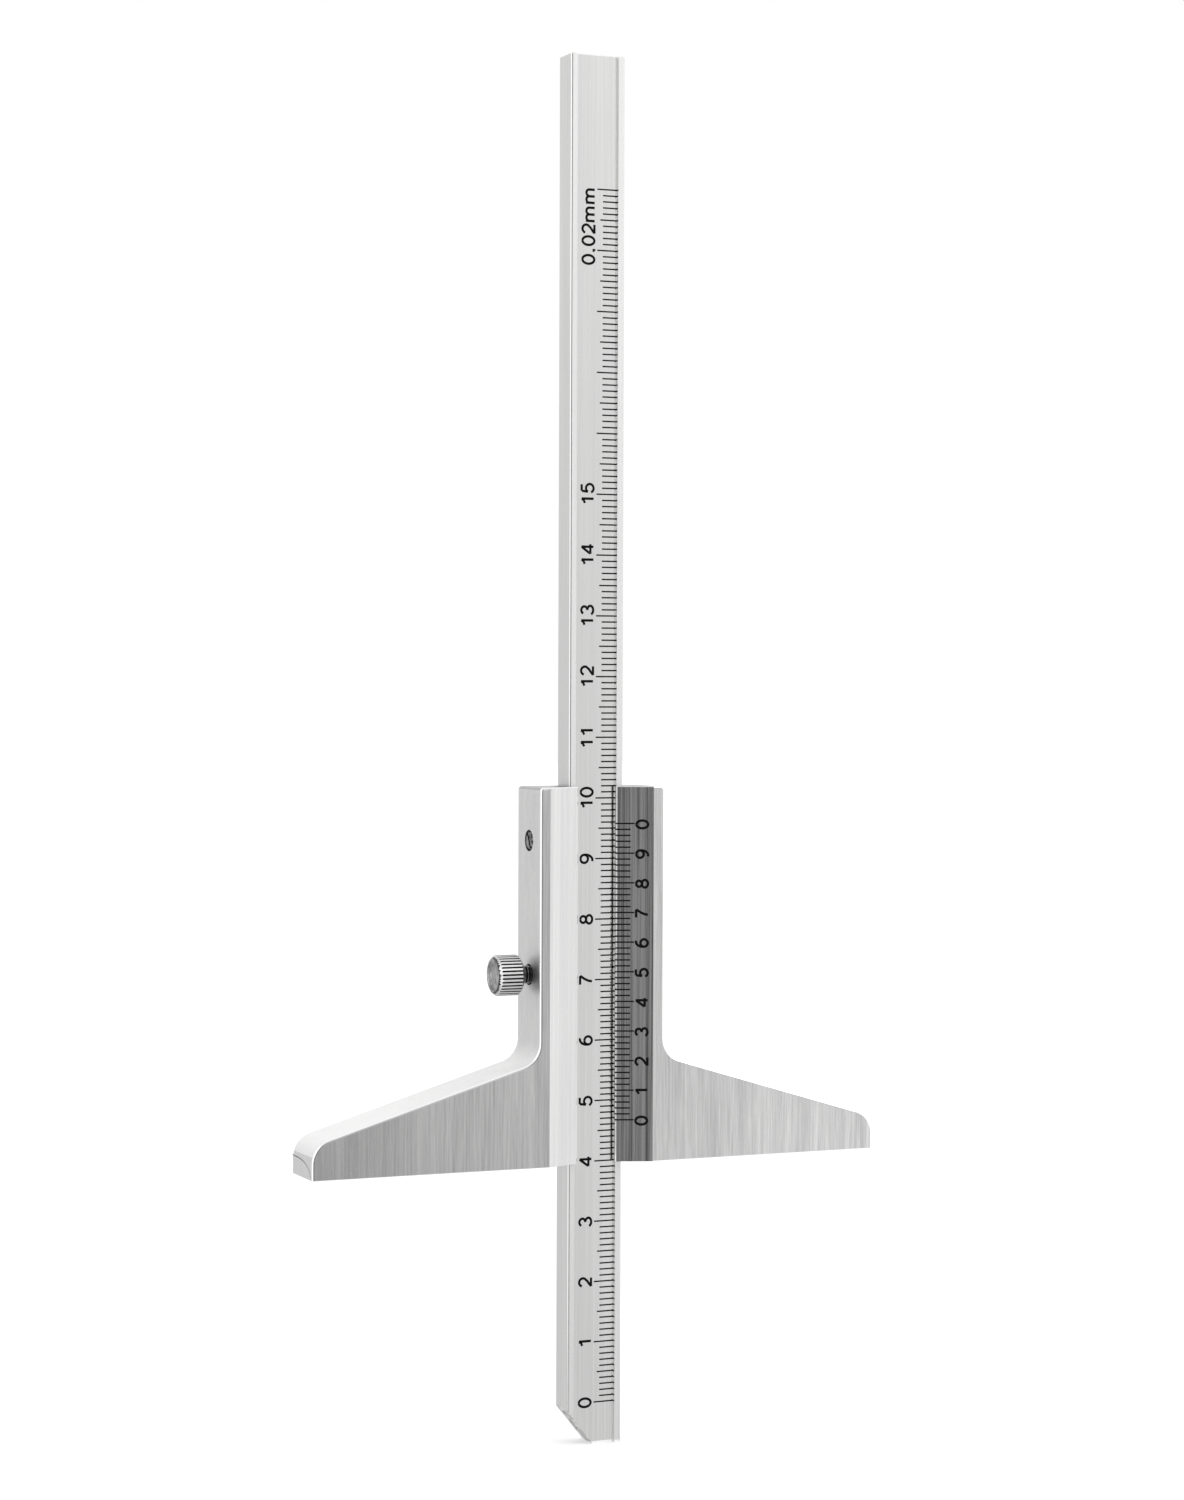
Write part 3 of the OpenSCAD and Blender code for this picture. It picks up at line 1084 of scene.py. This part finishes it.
def round_strokes(
    strokes: Iterable[list[tuple[float, float, float]]], thickness: float, place: Matrix
) -> Piece:
    """Draws round strokes as a curve, makes them a mesh, and sets it in its place.

    Args:
        strokes: the points of each stroke, in mm.
        thickness: how thick the strokes are, in mm.
        place: where the strokes go and how they are flattened, in metres.

    Returns:
        The mesh object, with its place in its mesh.
    """
    bpy.ops.object.select_all(action="DESELECT")
    bpy.ops.curve.primitive_nurbs_path_add(location=(0, 0, 0))
    data = bpy.context.object.data
    data.splines.clear()
    data.dimensions = "3D"
    data.bevel_depth = thickness / 2 * MM
    data.bevel_resolution = 1
    data.use_fill_caps = True
    for stroke in strokes:
        spline = data.splines.new("POLY")
        spline.points.add(len(stroke) - 1)
        for point, (x, y, z) in zip(spline.points, stroke):
            point.co = (x * MM, y * MM, z * MM, 1.0)
    only(bpy.context.object)
    bpy.ops.object.convert(target="MESH")
    drawn = bpy.context.object
    drawn.matrix_world = place
    bpy.ops.object.transform_apply(location=True, rotation=True, scale=True)
    return drawn


def name_and_close(piece: Piece, name: str) -> None:
    """Names a drawn piece and turns all its faces outwards.

    Args:
        piece: the mesh object.
        name: its name.
    """
    piece.name = name
    piece.data.name = name
    with editing(piece):
        bpy.ops.mesh.select_all(action="SELECT")
        bpy.ops.mesh.normals_make_consistent(inside=False)


@dataclass(frozen=True)
class LetteringPlane:
    """A plane that numbers lie on, read upwards along Z."""

    top: Vector
    down: Vector
    outward: Vector

    def matrix(self, height: float) -> Matrix:
        """The place of a number whose baseline and tops lie on this plane.

        Args:
            height: how high the middle of the number is, in mm.

        Returns:
            The matrix from the number's own plane, in metres.
        """
        across = Vector((0.0, 0.0, 1.0))
        turn = Matrix((across, -self.down, self.outward)).transposed().to_4x4()
        return Matrix.Translation((self.top + across * height) * MM) @ turn


@dataclass
class Lettering:
    """Numbers drawn as strokes of one width, filled and a hair proud of the metal."""

    name: str
    body: str
    plane: LetteringPlane
    labels: list[tuple[str, float]]
    cap: float
    stroke: float = 0.42
    proud: float = 0.012

    def strokes(self, text: str) -> list[list[tuple[float, float, float]]]:
        """The strokes of a text on its own plane, with its middle at the origin.

        Args:
            text: the characters.

        Returns:
            The points of each stroke, in mm.
        """
        start = -sum(GLYPHS[c][0] for c in text) * self.cap / 2
        drawn = []
        for character in text:
            advance, strokes = GLYPHS[character]
            for stroke in strokes:
                drawn.append([(start + x * self.cap, (y - 1) * self.cap, 0.0) for x, y in stroke])
            start += advance * self.cap
        return drawn

    def build(self) -> Piece:
        """Makes all labels and joins them to one piece.

        Returns:
            The finished piece.
        """
        flatten = Matrix.Scale(self.proud / (self.stroke / 2), 4, Vector((0, 0, 1)))
        parts = [
            round_strokes(self.strokes(text), self.stroke, self.plane.matrix(height) @ flatten)
            for text, height in self.labels
        ]
        only(parts[0])
        for part in parts:
            part.select_set(True)
        if len(parts) > 1:
            bpy.ops.object.join()
        piece = bpy.context.object
        name_and_close(piece, self.name)
        dress(piece, Slot.ENAMEL, FILLING)
        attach(piece, self.body)
        LOG.info("%s: %d labels", self.name, len(self.labels))
        return piece


@dataclass
class Scales:
    """The filled lines of the vernier and the numbers of both scales."""

    nodes: dict[str, Piece]
    slider: SliderAndBase
    foot_len: float = 6.9
    scale_face: float = -1.6
    beam_tops_x: float = -2.6
    beam_cap: float = 2.34
    beam_centimetres: int = 16
    unit_height: float = 200.8
    division: float = 4.9
    vernier_drop: float = 3.21
    vernier_shift: float = -0.15
    vernier_cap: float = 2.14

    def build(self) -> list[Piece]:
        """Makes the numbers and dresses the vernier's lines.

        Returns:
            The pieces.
        """
        lines = self.nodes["vernier_scale_lines"]
        dress(lines, Slot.ENAMEL, FILLING)
        LOG.info("vernier_scale_lines: filled")
        return [lines, self.beam_numbers(), self.unit_mark(), self.vernier_numbers()]

    def face_plane(self) -> LetteringPlane:
        """The plane of the beam's scale face, with the tops of the numbers towards -X."""
        top = Vector((self.beam_tops_x, self.scale_face, 0))
        return LetteringPlane(top, Vector((1, 0, 0)), Vector((0, -1, 0)))

    def beam_numbers(self) -> Piece:
        """The centimetre numbers 0 to 15."""
        labels = [(str(i), self.foot_len + 10.0 * i) for i in range(self.beam_centimetres)]
        return Lettering("beam_numbers", "beam", self.face_plane(), labels, self.beam_cap).build()

    def unit_mark(self) -> Piece:
        """The plain reading step and unit near the top."""
        labels = [("0.02mm", self.unit_height)]
        return Lettering("unit_mark", "beam", self.face_plane(), labels, self.beam_cap).build()

    def vernier_numbers(self) -> Piece:
        """The numbers 0 to 9 and 0 on the right bevel.

        Returns:
            The finished piece.
        """
        run = self.slider.rim_x - self.slider.lip_x
        drop = self.slider.half_depth + self.slider.lip_front
        slope = math.hypot(run, drop)
        down = Vector((run / slope, -drop / slope, 0))
        outward = Vector((-drop / slope, -run / slope, 0))
        lip = Vector((self.slider.lip_x, self.slider.lip_front, 0))
        plane = LetteringPlane(lip + down * self.vernier_drop, down, outward)
        zero = self.slider.face_z + self.foot_len + self.vernier_shift
        labels = [(str(i % 10), zero + self.division * i) for i in range(11)]
        return Lettering("vernier_numbers", "slider", plane, labels, self.vernier_cap).build()


@dataclass
class WitnessLine:
    """The fine line that two grinding passes left on the left end of the base."""

    end_x: float = -50.0
    width: float = 0.18
    proud: float = 0.004
    start: Point = (4.9, 49.8)
    pull: Point = (-3.4, 50.0)
    finish: Point = (-4.2, 47.3)
    steps: int = 18

    def point(self, share: float) -> tuple[float, float, float]:
        """A point of the line.

        Args:
            share: how far along it the point is, from 0 to 1.

        Returns:
            The point on the plane of the end, in mm.
        """
        weights = ((1 - share) ** 2, 2 * share * (1 - share), share**2)
        corners = (self.start, self.pull, self.finish)
        y, z = (sum(w * corner[i] for w, corner in zip(weights, corners)) for i in (0, 1))
        return 0.0, y, z

    def build(self) -> Piece:
        """Makes the line as a flattened curve.

        Returns:
            The finished piece.
        """
        thin = Matrix.Scale(self.proud / (self.width / 2), 4, Vector((1, 0, 0)))
        place = Matrix.Translation((self.end_x * MM, 0, 0)) @ thin
        line = [self.point(i / self.steps) for i in range(self.steps + 1)]
        piece = round_strokes([line], self.width, place)
        name_and_close(piece, "end_witness_line")
        dress(piece, Slot.BODY, WITNESS_STEEL)
        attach(piece, "slider")
        LOG.info("end_witness_line: made")
        return piece


# The studio and the camera.


@dataclass
class Studio:
    """A white floor and surround, a soft lamp, and the dark side where the camera stands.

    The cloths are pairs of an azimuth in degrees, 0 towards -Y and 90 towards +X, and of how
    bright the metal sees them there. All other sizes are in metres.
    """

    floor_half: float = 4.0
    floor_cuts: int = 3
    floor_white: float = 0.8
    floor_glow: float = 0.32
    floor_roughness: float = 0.9
    wall_radius: float = 1.6
    wall_height: float = 2.0
    wall_sides: int = 96
    cloth_height: float = 0.0004
    lift: tuple[float, float, float, float] = (0.05, 0.75, 1.7, 2.05)
    near_level: float = 0.74
    near_reach: Point = (0.02, 0.16)
    near_gain: float = 2.0
    lamp_place: Vector = field(default_factory=lambda: Vector((1.1, -0.9, 0.9)))
    lamp_aim: Vector = field(default_factory=lambda: Vector((0, 0, 0.12)))
    lamp_size: float = 0.9
    lamp_energy: float = 4.0
    cloths: tuple[Point, ...] = (
        (-180, 1.05), (-168, 1.02), (-156, 0.96), (-130, 0.94), (-100, 0.94), (-66, 1.7),
        (-48, 1.2), (-34, 0.32), (-20, 0.24), (-4, 0.3), (10, 0.5), (18, 0.66), (23, 0.74),
        (28, 1.0), (36, 1.2), (65, 1.26), (100, 1.2), (140, 1.08), (180, 1.05),
    )

    def build(self) -> None:
        """Makes the floor, the world, the cloths and the lamp."""
        self.floor()
        self.surround()
        cloth = self.cloth_material()
        self.wall(cloth)
        self.floor_cloth(cloth)
        self.lamp()
        LOG.info("studio: floor, surround, wall and lamp")

    def floor(self) -> None:
        """Makes the plain pale floor, bright to the camera and keeping the object's shadow."""
        bpy.ops.object.select_all(action="DESELECT")
        bpy.ops.mesh.primitive_plane_add(size=2 * self.floor_half, location=(0, 0, 0))
        floor = bpy.context.object
        floor.name = "studio_floor"
        with editing(floor):
            bpy.ops.mesh.select_all(action="SELECT")
            bpy.ops.mesh.subdivide(number_cuts=self.floor_cuts)
        material, bench, shader = start_material("studio_floor")
        bench.feed(grey(self.floor_white), shader.inputs["Base Color"])
        bench.feed(self.floor_roughness, shader.inputs["Roughness"])
        bench.feed(0.0, shader.inputs["Specular IOR Level"])
        bench.feed(grey(1.0), shader.inputs["Emission Color"])
        rays = bench.add("ShaderNodeLightPath").outputs
        seen = bench.maths("MAXIMUM", rays["Is Camera Ray"], rays["Is Glossy Ray"])
        seen = bench.maths("MAXIMUM", seen, rays["Is Transmission Ray"])
        glow = bench.maths("MULTIPLY", seen, self.floor_glow)
        bench.feed(glow, shader.inputs["Emission Strength"])
        floor.data.materials.append(material)

    def surround(self) -> None:
        """Makes the even white world."""
        world = bpy.data.worlds.new("white_surround")
        bpy.context.scene.world = world
        world.use_nodes = True
        background = world.node_tree.nodes["Background"]
        background.inputs["Color"].default_value = (1.0, 1.0, 1.0, 1.0)
        background.inputs["Strength"].default_value = 1.0

    def azimuth_ramp(self, bench: NodeBench, across: Socket, front: Socket) -> Socket:
        """The cloths' brightness by azimuth, halved so that a colour can hold it.

        Args:
            bench: the material's bench.
            across: the coordinate X.
            front: the coordinate -Y.

        Returns:
            The colour's socket.
        """
        angle = bench.maths("ARCTAN2", across, front)
        turn = bench.maths("ADD", bench.maths("DIVIDE", angle, 2 * math.pi), 0.5)
        ramp = bench.add("ShaderNodeValToRGB", Fac=turn)
        stops = ramp.color_ramp.elements
        for index, (degrees, level) in enumerate(self.cloths):
            stop = stops[index] if index < 2 else stops.new(1.0)
            stop.position = (degrees + 180) / 360
            stop.color = (*grey(level / 2), 1.0)
        return ramp.outputs["Color"]

    def cloth_material(self) -> bpy.types.Material:
        """The glow of the cloths: by azimuth, brighter higher up, and even close to the object.

        Returns:
            The material.
        """
        material, bench, shader = start_material("studio_wall")
        nodes = material.node_tree.nodes
        nodes.remove(shader)
        parts = bench.split(bench.add("ShaderNodeTexCoord").outputs["Object"])
        front = bench.maths("MULTIPLY", parts["Y"], -1.0)
        ramp = self.azimuth_ramp(bench, parts["X"], front)
        reach = bench.distance(parts["X"], parts["Y"])
        close = bench.ease(reach, (*self.near_reach, 1.0, 0.0))
        toward = bench.maths("DIVIDE", front, reach)
        toward = bench.maths("MULTIPLY", toward, self.near_gain, clamp=True)
        share = bench.maths("MULTIPLY", close, toward)
        colour = bench.blend(share, ramp, grey(self.near_level / 2))
        strength = bench.ease(parts["Z"], self.lift)
        glow = bench.add("ShaderNodeEmission", Color=colour, Strength=strength)
        bench.feed(glow.outputs[0], nodes["Material Output"].inputs["Surface"])
        return material

    def wall(self, cloth: bpy.types.Material) -> None:
        """Makes the round wall of cloths that the metal reflects.

        Args:
            cloth: the cloths' material.
        """
        bpy.ops.object.select_all(action="DESELECT")
        bpy.ops.mesh.primitive_cylinder_add(
            vertices=self.wall_sides, radius=self.wall_radius, depth=self.wall_height,
            end_fill_type="NOTHING", location=(0, 0, self.wall_height / 2),
        )
        wall = bpy.context.object
        wall.name = "studio_wall"
        bpy.ops.object.transform_apply(location=True, rotation=True, scale=True)
        with editing(wall):
            bpy.ops.mesh.select_all(action="SELECT")
            bpy.ops.mesh.flip_normals()
        wall.data.materials.append(cloth)
        wall.visible_camera = False

    def floor_cloth(self, cloth: bpy.types.Material) -> None:
        """Makes the foot of the cloths, which runs in under the object, for the metal alone.

        Args:
            cloth: the cloths' material.
        """
        bpy.ops.object.select_all(action="DESELECT")
        bpy.ops.mesh.primitive_circle_add(
            vertices=self.wall_sides, radius=self.wall_radius, fill_type="NGON",
            location=(0, 0, self.cloth_height),
        )
        foot = bpy.context.object
        foot.name = "floor_cloth"
        bpy.ops.object.transform_apply(location=True, rotation=True, scale=True)
        foot.data.materials.append(cloth)
        for ray in ("camera", "diffuse", "transmission", "shadow"):
            setattr(foot, f"visible_{ray}", False)

    def lamp(self) -> None:
        """Makes the large soft lamp at the upper right."""
        bpy.ops.object.light_add(type="AREA", location=self.lamp_place)
        lamp = bpy.context.object
        lamp.name = "soft_lamp"
        lamp.data.shape = "RECTANGLE"
        lamp.data.size = lamp.data.size_y = self.lamp_size
        lamp.data.energy = self.lamp_energy
        aim = self.lamp_aim - self.lamp_place
        lamp.rotation_euler = aim.to_track_quat("-Z", "Y").to_euler()


@dataclass
class PhotoCamera:
    """The camera at the photograph's place, in metres."""

    place: Vector = field(default_factory=lambda: Vector((-0.216622, -0.500109, 0.126487)))
    forward: Vector = field(default_factory=lambda: Vector((0.39768, 0.91727, -0.02148)))
    up: Vector = field(default_factory=lambda: Vector((0.00556, 0.021, 0.99976)))
    lens: float = 79.2
    sensor: float = 36.0
    clip: Point = (0.01, 50.0)

    def build(self) -> Piece:
        """Makes the camera and puts it to use.

        Returns:
            The camera.
        """
        bpy.ops.object.camera_add(location=self.place)
        camera = bpy.context.object
        camera.name = "photo_camera"
        forward = self.forward.normalized()
        right = forward.cross(self.up).normalized()
        turn = Matrix((right, right.cross(forward), -forward)).transposed().to_4x4()
        camera.matrix_world = Matrix.Translation(self.place) @ turn
        camera.data.lens = self.lens
        camera.data.sensor_width = self.sensor
        camera.data.clip_start, camera.data.clip_end = self.clip
        bpy.context.scene.camera = camera
        LOG.info("camera: lens %.1f mm", self.lens)
        return camera


def main() -> None:
    """Builds the dressed depth gauge and its studio."""
    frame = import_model()
    nodes = frame["nodes"]
    bpy.context.scene.view_settings.view_transform = "Standard"
    slider = SliderAndBase(nodes)
    slider.build()
    GraduatedBeam(nodes).build()
    KnurledLockScrew(nodes).build()
    ClampParts(nodes).build()
    Scales(nodes, slider).build()
    WitnessLine().build()
    Studio().build()
    PhotoCamera().build()


if __name__ == "__main__":
    main()
